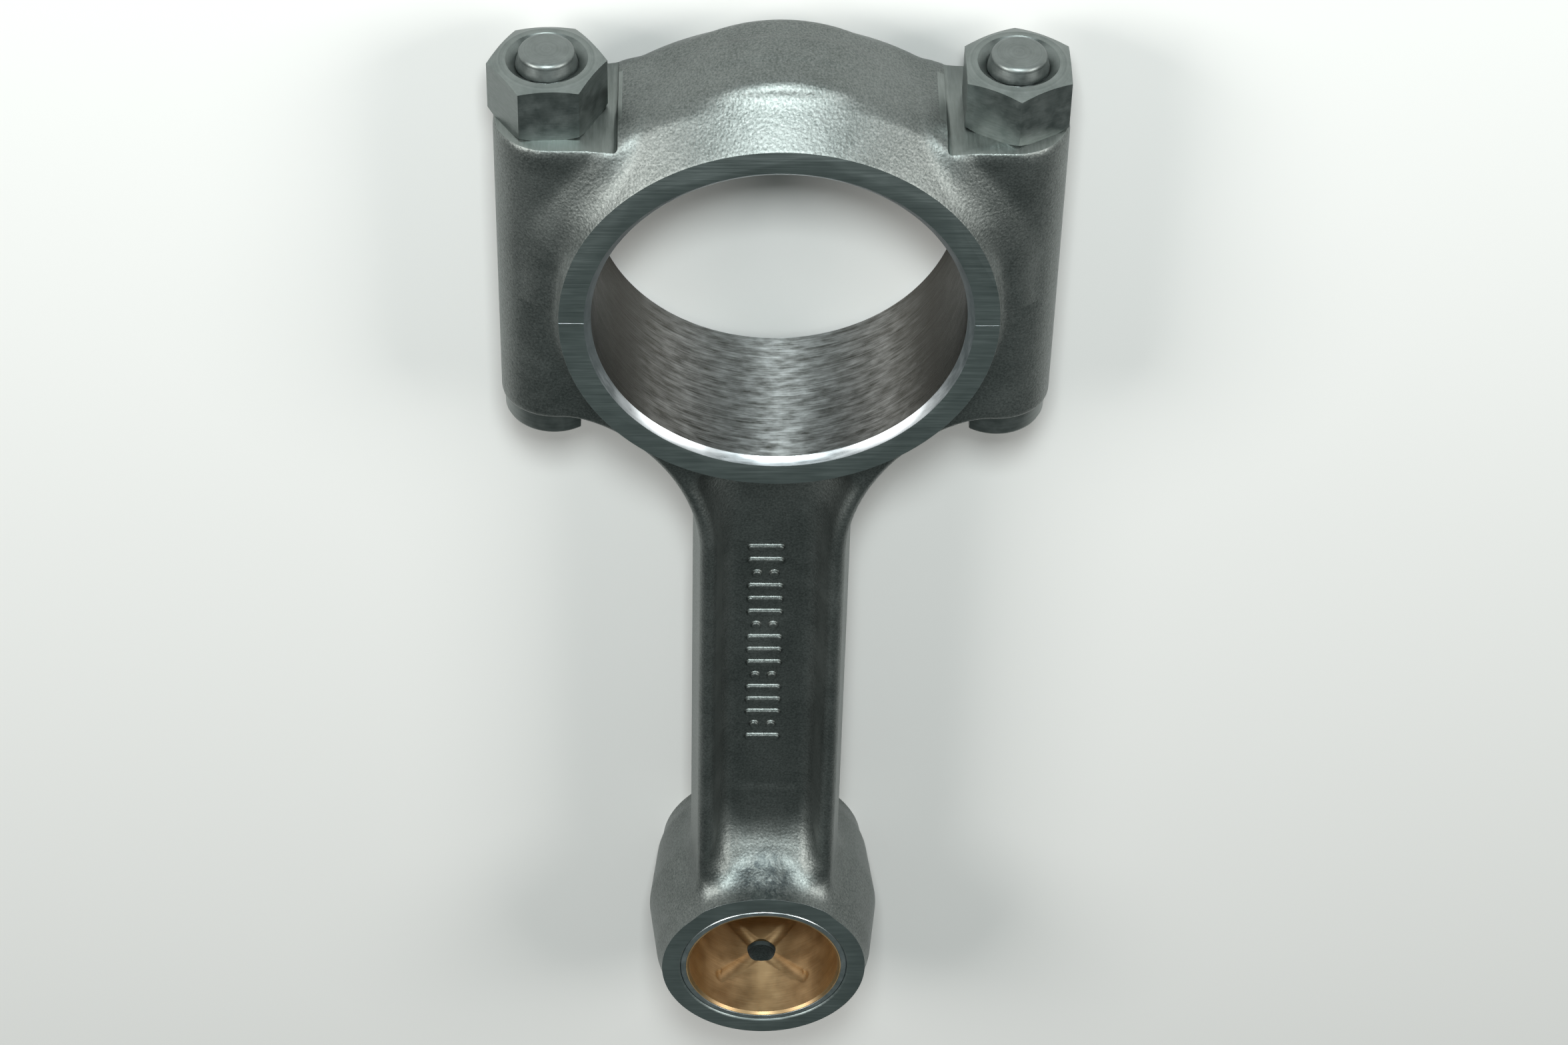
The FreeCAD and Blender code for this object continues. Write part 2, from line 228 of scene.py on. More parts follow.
def join_round(a, b, radius):
    """Both fields together, with a fillet of that radius."""
    return -cut_round(-a, -b, radius)


def sector_fillet(field, x, y, centre, radius, towards):
    """Adds a fillet arc between the beam's straight side and a circle about towards."""
    cx, cy = centre
    angle = np.arctan2(y - cy, cx - x)
    limit = math.atan2(towards - cy, cx)
    inside = (angle - limit) * angle <= 0
    arc = radius - np.hypot(x - cx, y - cy)
    return np.where(inside & (x < cx), arc, field)


def fillet_centre(circle_r, circle_y, fillet_r, side):
    """Centre of a fillet between the beam's side and a circle on the centre line."""
    x = BEAM_HALF + fillet_r
    return x, circle_y + side * math.sqrt((circle_r + fillet_r) ** 2 - x ** 2)


def ease(start, end, value):
    """Smooth step from 0 at the start to 1 at the end."""
    t = np.clip((value - start) / (end - start), 0, 1)
    return t * t * (3 - 2 * t)


def shank_outline(x, y):
    """Distance from the rod's outline, seen along the bores, for x of 0 or more."""
    shoulder = np.hypot(x, y) - SHOULDER_R
    small = np.hypot(x, y - SMALL_Y) - SMALL_R
    beam = np.maximum(x - BEAM_HALF, np.maximum(y, SMALL_Y - y))
    field = np.minimum(np.minimum(shoulder, small), beam)
    flare = fillet_centre(SHOULDER_R, 0.0, SHOULDER_FILLET, -1)
    neck = fillet_centre(SMALL_R, SMALL_Y, NECK_FILLET, 1)
    field = sector_fillet(field, x, y, flare, SHOULDER_FILLET, 0.0)
    return sector_fillet(field, x, y, neck, NECK_FILLET, SMALL_Y)


def rounded_bar(x, z):
    """Section of the big end across the bolts, a bar with rounded outer corners."""
    qx = np.abs(x) - (BOSS_X - BOSS_CORNER)
    qz = np.abs(z) - (FORGING_HALF - BOSS_CORNER)
    outside = np.hypot(np.maximum(qx, 0), np.maximum(qz, 0))
    return outside + np.minimum(np.maximum(qx, qz), 0) - BOSS_CORNER


def web_pocket(x, y, z, outline):
    """Hollow between the flanges, with the long curved ramp up to the small end."""
    near = np.hypot(x, y - SMALL_Y)
    side = (outline + RECESS_INSET + RECESS_LEAN * (FORGING_HALF - z)) / math.hypot(1, RECESS_LEAN)
    pad = np.maximum(x - PAD_HALF, near - PAD_REACH)
    pad_rise = PAD_HEIGHT * ease(0.6, -0.8, pad) + PAD_CROWN * np.clip(-pad, 0, 6)
    climb_rise = CLIMB_RATE * np.clip(CLIMB_REACH - near, 0, 12) ** 2
    floor = WEB_HALF + pad_rise + climb_rise - z
    small_wall = SMALL_FACE_R + 0.8 - near
    big_wall = SHOULDER_R - 1.0 - np.hypot(x, y)
    hollow = cut_round(cut_round(floor, small_wall, RAMP_FILLET), big_wall, FLARE_FILLET)
    on_ramp = ease(CLIMB_REACH, 27.0, near)
    on_flare = ease(-74.0, -52.0, y)
    corner = RECESS_CORNER + RAMP_CORNER * on_ramp + FLARE_CORNER * on_flare
    return cut_round(hollow, side, corner)


def raised_marks(x, y):
    """Row of plain raised bars and pairs of dots on the web, with no lettering."""
    field = np.full_like(x, 9.0)
    for index in range(MARK_COUNT):
        along = y - MARK_START_Y + index * MARK_PITCH
        across = x - MARK_X
        if index % 4 == 2:
            dots = np.abs(across) - 0.6 * MARK_HALF_LENGTH
            mark = np.hypot(dots, along) - 1.3 * MARK_HALF_WIDTH
        else:
            past_end = np.maximum(np.abs(across) - MARK_HALF_LENGTH, 0)
            mark = np.hypot(past_end, along) - MARK_HALF_WIDTH
        field = np.minimum(field, mark)
    return field


def rod_field(x, y, z):
    """Forging of the rod before machining."""
    ax = np.abs(x)
    az = np.abs(z)
    outline = shank_outline(ax, y)
    bosses = np.maximum(ax - BOSS_X - 5, np.maximum(BOSS_FOOT_Y - y, y - BOSS_TOP_Y))
    plan = join_round(outline, bosses, RING_FOOT)
    top = rounded_bar(x, z)
    small_air = cut_round(-top, small_wall_field(ax, y, az), SMALL_FOOT)
    big_air = cut_round(-top, ring_wall_field(ax, y, az), RING_FOOT)
    air = np.maximum(small_air, big_air)
    body = cut_round(plan + DRAFT * az, -air, FORGING_EDGE)
    hollow = web_pocket(ax, y, az, outline)
    near = np.hypot(ax, y - SMALL_Y)
    edge = 0.4 + 1.4 * np.clip((near - 25) / 5, 0, 1) + 1.2 * ease(38.0, 28.0, near)
    return cut_round(body, -hollow, edge)


def mark_field(x, y, z):
    """Raised marks, with rounded tops and a small flare where they meet the web."""
    flare = 0.25 * np.clip(1 - (z - WEB_HALF) / 0.3, 0, 1) ** 2
    marks = cut_round(raised_marks(x, y) - flare, z - WEB_HALF - MARK_HEIGHT, MARK_EDGE)
    return np.maximum(marks, WEB_HALF - MARK_ROOT - z)


def small_wall_field(x, y, z):
    """Air outside the small-end boss, which leans in towards its faces."""
    lean = (SMALL_R - SMALL_FACE_R) / HALF
    return SMALL_R - lean * z - np.hypot(x, y - SMALL_Y)


def ring_wall_field(x, y, z):
    """Air outside the thrust ring of the rod half."""
    return RING_R + RING_LEAN * (HALF - z) - np.hypot(x, y)


def sloped_hoop(x, y, z):
    """Crown of the cap with its hump, and the slopes down to the thrust rings."""
    r = np.hypot(x, y)
    hump_r = np.hypot(x, y - HUMP_Y)
    slope = (r - RING_R) * math.sin(SLOPE) + (z - HALF - 0.2) * math.cos(SLOPE)
    base = cut_round(r - CROWN_R, slope, 1.4)
    hump_top = hump_r - HUMP_R + HUMP_LAND + 0.006 * z ** 2
    hump_side = (hump_r - HUMP_R) * 0.39 + (z - HUMP_HALF) * 0.92
    hump = cut_round(hump_top, hump_side, 1.6)
    land = cut_round(hump_r - HUMP_R, z - LAND_HALF, 0.5)
    hump = join_round(hump, np.maximum(land, 20 - y), 0.5)
    hump = np.maximum(hump, hump_r - HUMP_R)
    return join_round(base, np.maximum(hump, 30 - y), 0.9)


def stepped_hoop(x, y, z):
    """Thrust ring standing on the shoulder, as beside the split."""
    r = np.hypot(x, y)
    ring = cut_round(r - RING_R - RING_LEAN * (HALF - z), z - HALF - 1.0, 0.3)
    shoulder = cut_round(r - SHOULDER_R + DRAFT * z, z - FORGING_HALF, FORGING_EDGE)
    return join_round(ring, shoulder, RING_FOOT)


def cap_field(x, y, z):
    """Forging of the cap before machining."""
    ax = np.abs(x)
    az = np.abs(z)
    share = ease(SHARE_START_Y, SHARE_END_Y, y)
    top = SEAT_Y + 1.1 + 0.6 * np.clip(ax - 30, 0, 3.2)
    bosses = np.maximum(np.maximum(y - top, -8 - y), 20 + 9 * share - ax)
    bosses = cut_round(bosses, rounded_bar(x, z), 1.0 + 4.0 * share)
    hoop = stepped_hoop(ax, y, az) * (1 - share) + sloped_hoop(ax, y, az) * share
    return join_round(hoop, bosses, 3.0 + 2.0 * share)


def mesh_field(field, low, high, voxel=VOXEL):
    """Vertices and quads of a field's zero surface, moved onto it in a few steps."""
    axes = [np.arange(a - 2 * voxel, b + 3 * voxel, voxel) for a, b in zip(low, high)]
    grid = np.meshgrid(*axes, indexing="ij")
    values = field(*grid)
    volume = openvdb.FloatGrid(background=3.0)
    volume.copyFromArray(values.astype(np.float32))
    points, quads = volume.convertToQuads(isovalue=0.0)
    points = points.astype(float) * voxel + np.array([axis[0] for axis in axes])
    for _ in range(3):
        points -= newton_step(field, points, 0.5 * voxel)
    return points, quads


def newton_step(field, points, limit):
    """Step that takes points onto the zero surface of a field, up to a limit."""
    step = 0.02
    here = field(*points.T)
    slopes = []
    for axis in range(3):
        ahead = points.copy()
        ahead[:, axis] += step
        behind = points.copy()
        behind[:, axis] -= step
        slopes.append((field(*ahead.T) - field(*behind.T)) / (2 * step))
    slopes = np.stack(slopes, axis=1)
    length = np.maximum((slopes ** 2).sum(axis=1), 0.2)
    move = slopes * (here / length)[:, None]
    return np.clip(move, -limit, limit)


# ---------------------------------------------------------------- mesh building

def make_object(name, points, faces):
    """New object from points in millimetres."""
    mesh = bpy.data.meshes.new(name)
    corners = (np.asarray(points) * MM).tolist()
    mesh.from_pydata(corners, [], [list(map(int, face)) for face in faces])
    mesh.validate()
    mesh.update()
    obj = bpy.data.objects.new(name, mesh)
    bpy.context.scene.collection.objects.link(obj)
    return obj


def lathe(name, profile, centre=(0, 0, 0), axis="Z", segments=160):
    """Closed solid of revolution from (radius, height) points, both ends on the axis."""
    angles = np.linspace(0, 2 * math.pi, segments, endpoint=False)
    points = [(0.0, 0.0, profile[0][1])]
    for radius, height in profile[1:-1]:
        points += [(radius * math.cos(a), radius * math.sin(a), height) for a in angles]
    points.append((0.0, 0.0, profile[-1][1]))
    rings = len(profile) - 2
    faces = []
    for i in range(segments):
        j = (i + 1) % segments
        faces.append((0, 1 + j, 1 + i))
        for ring in range(rings - 1):
            a = 1 + ring * segments
            faces.append((a + i, a + j, a + segments + j, a + segments + i))
        last = 1 + (rings - 1) * segments
        faces.append((last + i, last + j, len(points) - 1))
    points = np.array(points)
    if axis == "Y":
        points = points[:, [1, 2, 0]]
    return make_object(name, points + np.array(centre), faces)


def prism(name, outline, low, high, axis="Z"):
    """Solid with flat ends between two heights, from an outline given counter-clockwise."""
    count = len(outline)
    points = [(u, v, h) for h in (low, high) for u, v in outline]
    faces = [tuple(range(count))[::-1], tuple(range(count, 2 * count))]
    for i in range(count):
        j = (i + 1) % count
        faces.append((i, j, count + j, count + i))
    points = np.array(points)
    if axis == "Y":
        points = points[:, [1, 2, 0]]
    return make_object(name, points, faces)


def block(low, high):
    """Box between two corners."""
    outline = [(low[0], low[1]), (high[0], low[1]), (high[0], high[1]), (low[0], high[1])]
    return prism("block", outline, low[2], high[2])


def combine(obj, tool, operation="DIFFERENCE"):
    """Boolean of an object with a tool, which is then deleted."""
    modifier = obj.modifiers.new("cut", "BOOLEAN")
    modifier.operation = operation
    modifier.solver = "MANIFOLD"
    modifier.object = tool
    depsgraph = bpy.context.evaluated_depsgraph_get()
    mesh = bpy.data.meshes.new_from_object(obj.evaluated_get(depsgraph))
    obj.modifiers.clear()
    old = obj.data
    obj.data = mesh
    bpy.data.meshes.remove(old)
    bpy.data.objects.remove(tool)


def clean(obj):
    """Removes the slivers that cutting leaves along shared edges."""
    mesh = bmesh.new()
    mesh.from_mesh(obj.data)
    bmesh.ops.remove_doubles(mesh, verts=mesh.verts, dist=SLIVER * MM)
    bmesh.ops.dissolve_degenerate(mesh, edges=mesh.edges, dist=SLIVER * MM)
    mesh.to_mesh(obj.data)
    mesh.free()


def smooth(obj, angle=38.0):
    """Smooth shading with crisp machined edges."""
    mesh = obj.data
    mesh.polygons.foreach_set("use_smooth", np.ones(len(mesh.polygons), dtype=bool))
    mesh.set_sharp_from_angle(angle=math.radians(angle))
    return obj


def break_edges(obj, axis, value, size, slot):
    """Small chamfer around the flat face at that place along an axis, with its own finish."""
    mesh = bmesh.new()
    mesh.from_mesh(obj.data)
    value *= MM
    chosen = []
    for edge in mesh.edges:
        off_face = any(abs(vert.co[axis] - value) > 1e-6 for vert in edge.verts)
        if len(edge.link_faces) != 2 or off_face:
            continue
        flats = [abs(face.normal[axis]) > 0.9999 for face in edge.link_faces]
        if flats[0] != flats[1] and edge.calc_face_angle() > 0.3:
            chosen.append(edge)
    made = bmesh.ops.bevel(
        mesh, geom=chosen, offset=size * MM, segments=1, affect="EDGES", clamp_overlap=True)
    for face in made["faces"]:
        face.material_index = slot
    mesh.to_mesh(obj.data)
    mesh.free()


def bore_tool(radius, chamfer, half, centre=(0, 0, 0)):
    """Cutting tool for a bore along Z with a chamfer at both faces."""
    over = 2.0
    profile = [
        (0, -half - over),
        (radius + chamfer + over, -half - over),
        (radius, -half + chamfer),
        (radius, half - chamfer),
        (radius + chamfer + over, half + over),
        (0, half + over),
    ]
    return lathe("bore", profile, centre, segments=256)


def hole_tool(radius, low, high, x):
    """Cutting tool for a drilled hole along Y."""
    profile = [(0, low), (radius, low), (radius, high), (0, high)]
    return lathe("hole", profile, (x, 0, 0), axis="Y", segments=96)


def oil_hole_tool():
    """Cutting tool for the oil hole in the end of the small end."""
    return hole_tool(OIL_HOLE_R, SMALL_Y - 40, SMALL_Y, 0)


# ---------------------------------------------------------------- the pieces

def build_rod():
    """Rod forging, machined."""
    low = np.array([-BOSS_X, rod_low[1], -HALF - 1])
    high = np.array([BOSS_X, 2.0, HALF + 1])
    obj = make_object("rod_body", *mesh_field(rod_field, low, high))
    combine(obj, block((-CUT_REACH, CUT_END_Y, -HALF), (CUT_REACH, -SPLIT_GAP, HALF)), "INTERSECT")
    combine(obj, bore_tool(BIG_BORE_R, BIG_CHAMFER, HALF))
    combine(obj, bore_tool(BUSH_R, PIN_CHAMFER, HALF, (0, SMALL_Y, 0)))
    for side in (-1, 1):
        combine(obj, hole_tool(BOLT_R + 0.02, -60, 10, side * BOLT_X))
        inner, outer = sorted((side * HEAD_SEAT_X, side * CUT_REACH))
        combine(obj, block((inner, -50, -30), (outer, HEAD_SEAT_Y, 30)))
    combine(obj, oil_hole_tool())
    last = MARK_START_Y - MARK_COUNT * MARK_PITCH
    low = (MARK_X - 5, last, WEB_HALF - 1)
    high = (MARK_X + 5, MARK_START_Y + 2, WEB_HALF + MARK_HEIGHT)
    marks = make_object("marks", *mesh_field(mark_field, low, high, MARK_VOXEL))
    combine(obj, marks, "UNION")
    return smooth(obj)


def build_cap():
    """Bearing cap, machined."""
    low = np.array([-BOSS_X, -3.0, -HALF - 1])
    high = np.array([BOSS_X, CROWN_Y, HALF + 1])
    obj = make_object("cap_body", *mesh_field(cap_field, low, high))
    combine(obj, block((-CUT_REACH, SPLIT_GAP, -HALF), (CUT_REACH, CUT_REACH, HALF)), "INTERSECT")
    combine(obj, bore_tool(BIG_BORE_R, BIG_CHAMFER, HALF))
    for side in (-1, 1):
        combine(obj, seat_tool(side))
        combine(obj, hole_tool(BOLT_R + 0.08, -10, 60, side * BOLT_X))
    return smooth(obj)


def seat_tool(side):
    """Cutting tool for a nut seat, with the cutter's small corner radius."""
    steps = 8
    outline = []
    for index in range(steps + 1):
        angle = math.pi + index / steps * math.pi / 2
        x = SEAT_WALL_X + SEAT_CORNER + SEAT_CORNER * math.cos(angle)
        y = SEAT_Y + SEAT_CORNER + SEAT_CORNER * math.sin(angle)
        outline.append((x, y))
    outline += [(CUT_REACH, SEAT_Y), (CUT_REACH, CUT_REACH), (SEAT_WALL_X, CUT_REACH)]
    if side < 0:
        outline = [(-x, y) for x, y in outline[::-1]]
    return prism("seat", outline, -40, 40)


def groove_depth(arc, z):
    """Depth of the two crossed oil grooves, on the side of the oil hole."""
    arc = np.abs(arc)
    z = np.abs(z)
    along = np.clip(arc / GROOVE_ARC, 0, 1)
    away = np.hypot(arc - along * GROOVE_ARC, z - along * GROOVE_Z)
    beside = np.abs(arc * GROOVE_Z - z * GROOVE_ARC) / math.hypot(GROOVE_ARC, GROOVE_Z)
    inside = (arc < GROOVE_ARC) & (z < GROOVE_Z)
    gap = np.where(inside, np.minimum(away, beside), away)
    return GROOVE_DEPTH * (1 - np.clip(gap / GROOVE_HALF_WIDTH, 0, 1) ** 2)


def build_lining():
    """Bronze lining of the bush, with its crossed oil grooves and oil hole."""
    half = lining_high[2]
    chamfer = LINING_CHAMFER
    around = 2 * math.pi * PIN_R
    patch = np.arange(-GROOVE_PATCH, GROOVE_PATCH, GROOVE_STEP)
    rest = np.linspace(GROOVE_PATCH, around - GROOVE_PATCH, 90, endpoint=False)
    arcs = np.concatenate([patch, rest])
    angles = arcs / PIN_R
    wrapped = np.where(arcs > around / 2, arcs - around, arcs)
    fine = np.arange(-GROOVE_PATCH, GROOVE_PATCH + 0.1, GROOVE_STEP)
    heights = np.concatenate([[-half + chamfer], fine, [half - chamfer]])
    rings = []
    for height in heights:
        rings.append((PIN_R + groove_depth(wrapped, height), height))
    rings += [(PIN_R + chamfer, half), (LINING_R, half), (LINING_R, -half), (PIN_R + chamfer, -half)]
    points = []
    for radius, height in rings:
        x = radius * np.sin(angles)
        y = SMALL_Y - radius * np.cos(angles)
        points += list(zip(x, y, np.full(len(angles), height)))
    count = len(angles)
    faces = []
    for ring in range(len(rings)):
        here = ring * count
        above = (ring + 1) % len(rings) * count
        for i in range(count):
            j = (i + 1) % count
            faces.append((here + i, above + i, above + j, here + j))
    tube = make_object("bronze_lining", points, faces)
    combine(tube, oil_hole_tool())
    return smooth(tube, 30)


def build_back():
    """Steel back of the bush."""
    half = back_high[2]
    outside = BUSH_R - 0.02
    profile = [
        (0, -half),
        (BUSH_R - BACK_CHAMFER, -half),
        (outside, -half + BACK_CHAMFER),
        (outside, half - BACK_CHAMFER),
        (BUSH_R - BACK_CHAMFER, half),
        (0, half),
    ]
    tube = lathe("bush_back", profile, (0, SMALL_Y, 0), segments=256)
    combine(tube, bore_tool(LINING_R + 0.01, 0.06, half, (0, SMALL_Y, 0)))
    combine(tube, oil_hole_tool())
    clean(tube)
    return smooth(tube, 30)


def ribbed_rod(name, x, heights, radius_at, segments=72):
    """Closed solid along Y whose radius is a function of height and angle."""
    angles = np.linspace(0, 2 * math.pi, segments, endpoint=False)
    points = [(x, heights[0], 0.0)]
    for height in heights:
        radii = radius_at(height, angles)
        across = x + radii * np.sin(angles)
        points += list(zip(across, np.full(segments, height), radii * np.cos(angles)))
    points.append((x, heights[-1], 0.0))
    faces = []
    for i in range(segments):
        j = (i + 1) % segments
        faces.append((0, 1 + j, 1 + i))
        for ring in range(len(heights) - 1):
            a = 1 + ring * segments
            faces.append((a + i, a + j, a + segments + j, a + segments + i))
        last = 1 + (len(heights) - 1) * segments
        faces.append((last + i, last + j, len(points) - 1))
    return make_object(name, points, faces)


def thread_cut(height, angles):
    """Depth of a right-hand thread below its crest, at a height and angles."""
    phase = height / THREAD_PITCH - angles / (2 * math.pi)
    wave = np.abs(2 * (phase - np.floor(phase)) - 1)
    fade = np.clip((THREAD_END_Y - height) / THREAD_PITCH, 0, 1)
    return THREAD_DEPTH * fade * np.clip((wave - 0.12) / 0.72, 0, 1)


def build_nut(name, x, turn):
    """Hexagon nut with chamfered corners, a countersink and its thread."""
    top = NUT_TOP_Y
    corners = []
    for index in range(6):
        angle = math.radians(60 * index + turn)
        corners.append((NUT_CORNER_R * math.sin(angle), NUT_CORNER_R * math.cos(angle)))
    obj = prism(name, corners[::-1], SEAT_Y, top, axis="Y")
    obj.data.transform(Matrix.Translation((x * MM, 0, 0)))
    outside = NUT_CORNER_R + 0.2
    drop = (outside - NUT_CHAMFER_R) * math.tan(NUT_CHAMFER)
    envelope = [
        (0, SEAT_Y),
        (NUT_CORNER_R - 1.0, SEAT_Y),
        (outside, SEAT_Y + 0.7),
        (outside, top - drop),
        (NUT_CHAMFER_R, top),
        (0, top),
    ]
    combine(obj, lathe("envelope", envelope, (x, 0, 0), axis="Y", segments=240), "INTERSECT")

    def bore(height, angles):
        thread = BOLT_R - 0.05 + THREAD_FIT - thread_cut(height, angles)
        sink = max(SINK_R - 1.2 * (top - height), 6.7 - (height - SEAT_Y))
        return np.maximum(thread, sink)

    heights = np.arange(SEAT_Y - 0.3, top + 0.4, THREAD_STEP)
    combine(obj, ribbed_rod("bore", x, heights, bore))
    return smooth(obj, 18)


def build_bolt(name, side):
    """Bolt with its D-shaped head, fitted shank, thread and round-edged tip."""
    x = side * BOLT_X
    tip = TIP_Y

    def shank_radius(height, angles):
        run_in = np.clip((height - THREAD_START_Y) / 2, 0, 1)
        thread = BOLT_R - run_in * (0.05 + thread_cut(height, angles))
        below = tip - TIP_ROUND - height
        cone = TIP_R + TIP_TAPER * max(0.0, below)
        edge = TIP_R - TIP_ROUND + math.sqrt(max(0.0, TIP_ROUND ** 2 - below ** 2))
        return np.minimum(thread, edge if below < 0 else cone)

    heights = np.concatenate([
        [HEAD_SEAT_Y - 0.01, THREAD_START_Y],
        np.arange(THREAD_START_Y + THREAD_STEP, tip - TIP_ROUND - THREAD_STEP / 2, THREAD_STEP),
        tip - TIP_ROUND + TIP_ROUND * np.sin(np.linspace(0, math.pi / 2, 10)),
    ])
    shank = ribbed_rod(name, x, heights, shank_radius)
    profile = [
        (0, HEAD_LOW_Y),
        (HEAD_R - 0.9, HEAD_LOW_Y),
        (HEAD_R - 0.3, HEAD_LOW_Y + 0.25),
        (HEAD_R, HEAD_LOW_Y + 0.9),
        (HEAD_R, HEAD_SEAT_Y),
        (0, HEAD_SEAT_Y),
    ]
    head = lathe("head", profile, (x, 0, 0), axis="Y", segments=128)
    inner, outer = sorted((side * (BOLT_X - HEAD_FLAT_INSET), 0))
    combine(head, block((inner, -60, -20), (outer, 0, 20)))
    combine(shank, head, "UNION")
    clean(shank)
    return smooth(shank, 30)


# ---------------------------------------------------------------- materials

def material(name, color, roughness, metallic=1.0):
    """New material: returns it with its node tree and shader."""
    mat = bpy.data.materials.new(name)
    mat.use_nodes = True
    tree = mat.node_tree
    shader = tree.nodes["Principled BSDF"]
    shader.inputs["Base Color"].default_value = (*color, 1)
    shader.inputs["Metallic"].default_value = metallic
    shader.inputs["Roughness"].default_value = roughness
    return mat, tree, shader


def add(tree, kind, values, **settings):
    """New node, with its inputs set to values or linked to other nodes' outputs."""
    node = tree.nodes.new(kind)
    for key, value in settings.items():
        setattr(node, key, value)
    for key, value in values.items():
        if isinstance(value, bpy.types.NodeSocket):
            tree.links.new(value, node.inputs[key])
        else:
            node.inputs[key].default_value = value
    return node


def math_node(tree, operation, *values):
    """Result of an arithmetic operation on sockets or numbers."""
    return add(tree, "ShaderNodeMath", dict(enumerate(values)), operation=operation).outputs[0]


def weigh(tree, first, first_share, second, second_share):
    """Weighted sum of two patterns."""
    first = math_node(tree, "MULTIPLY", first, first_share)
    second = math_node(tree, "MULTIPLY", second, second_share)
    return math_node(tree, "ADD", first, second)


def noise(tree, vector, scale, detail=3.0, roughness=0.55, distortion=0.0):
    """Noise from 0 to 1, with about that many features in a metre."""
    values = {
        "Vector": vector,
        "Scale": scale,
        "Detail": detail,
        "Roughness": roughness,
        "Distortion": distortion,
    }
    return add(tree, "ShaderNodeTexNoise", values).outputs["Fac"]


def ramp(tree, value, low, high, first, last):
    """Value stretched from low..high to first..last, and held beyond."""
    values = {0: value, 1: low, 2: high, 3: first, 4: last}
    return add(tree, "ShaderNodeMapRange", values).outputs[0]


def blend_colors(tree, factor, first, second):
    """Mix of two colours."""
    mix = tree.nodes.new("ShaderNodeMix")
    mix.data_type = "RGBA"
    tree.links.new(factor, mix.inputs[0])
    for socket, value in ((mix.inputs[6], first), (mix.inputs[7], second)):
        if isinstance(value, bpy.types.NodeSocket):
            tree.links.new(value, socket)
        else:
            socket.default_value = (*value, 1)
    return mix.outputs[2]


def bump(tree, shader, height, strength, distance):
    """Relief from a pattern, its depth in millimetres."""
    values = {"Height": height, "Strength": strength, "Distance": distance * MM}
    node = add(tree, "ShaderNodeBump", values)
    tree.links.new(node.outputs[0], shader.inputs["Normal"])


def object_coordinates(tree):
    """Coordinates of the piece, in metres."""
    return tree.nodes.new("ShaderNodeTexCoord").outputs["Object"]


def around_bore(tree, centre_y, radius, stretch):
    """Coordinates along the arc of a bore and along its axis, the second stretched."""
    parts = add(tree, "ShaderNodeSeparateXYZ", {0: object_coordinates(tree)}).outputs
    y = math_node(tree, "SUBTRACT", parts[1], centre_y * MM)
    angle = math_node(tree, "ARCTAN2", parts[0], math_node(tree, "MULTIPLY", y, -1.0))
    arc = math_node(tree, "MULTIPLY", angle, radius * MM)
    along = math_node(tree, "MULTIPLY", parts[2], stretch)
    return add(tree, "ShaderNodeCombineXYZ", {0: arc, 1: along}).outputs[0]


def comb_around(tree, shader, anisotropy):
    """Gleam of a bore whose fine scratches run around its axis, which is along Z."""
    shader.inputs["Anisotropic"].default_value = anisotropy
    axis = add(tree, "ShaderNodeCombineXYZ", {2: 1.0}).outputs[0]
    tree.links.new(axis, shader.inputs["Tangent"])


def forged_steel(name, dark, light):
    """Shot-peened forging skin: small dimples, scale patches and a dull gleam."""
    mat, tree, shader = material(name, light, 0.45)
    place = object_coordinates(tree)
    patches = noise(tree, place, 70, 4.0, 0.6, 0.4)
    grain = noise(tree, place, 2300, 3.0, 0.7)
    shade = weigh(tree, patches, 0.3, grain, 0.7)
    color = blend_colors(tree, ramp(tree, shade, 0.37, 0.63, 0, 1), dark, light)
    gap = add(tree, "ShaderNodeVectorMath", {0: place, 1: STAIN_PLACE}, operation="DISTANCE")
    spot = gap.outputs["Value"]
    speckle = ramp(tree, noise(tree, place, 520, 4.0, 0.7, 0.8), 0.42, 0.58, 0.35, 1.0)
    stain_and_shade = math_node(tree, "MULTIPLY", ramp(tree, spot, 0.0045, 0.0090, 0.95, 0.0), speckle)
    color = blend_colors(tree, stain_and_shade, color, STAIN_COLOR)
    tree.links.new(color, shader.inputs["Base Color"])
    tree.links.new(ramp(tree, patches, 0.3, 0.7, 0.43, 0.50), shader.inputs["Roughness"])
    cells = add(tree, "ShaderNodeTexVoronoi", {"Vector": place, "Scale": 1900.0}, feature="SMOOTH_F1")
    fine = noise(tree, place, 3600, 3.0, 0.7)
    relief = weigh(tree, cells.outputs[0], 0.7, fine, 0.5)
    bump(tree, shader, relief, 0.75, 0.085)
    return mat


def ground_steel(name, dark, light, roughness, grain=(90, 2600, 400), relief=0.35):
    """Flat machined face with a fine lay of parallel marks."""
    mat, tree, shader = material(name, light, roughness)
    place = object_coordinates(tree)
    lay = add(tree, "ShaderNodeMapping", {"Vector": place, "Scale": grain}).outputs[0]
    marks = noise(tree, lay, 1.0, 4.0, 0.65)
    clouds = noise(tree, place, 120, 3.0)
    shade = weigh(tree, marks, 0.5, clouds, 0.5)
    color = blend_colors(tree, ramp(tree, shade, 0.35, 0.65, 0, 1), dark, light)
    tree.links.new(color, shader.inputs["Base Color"])
    dull = ramp(tree, marks, 0.3, 0.7, roughness - 0.05, roughness + 0.07)
    tree.links.new(dull, shader.inputs["Roughness"])
    bump(tree, shader, marks, relief, 0.02)
    return mat


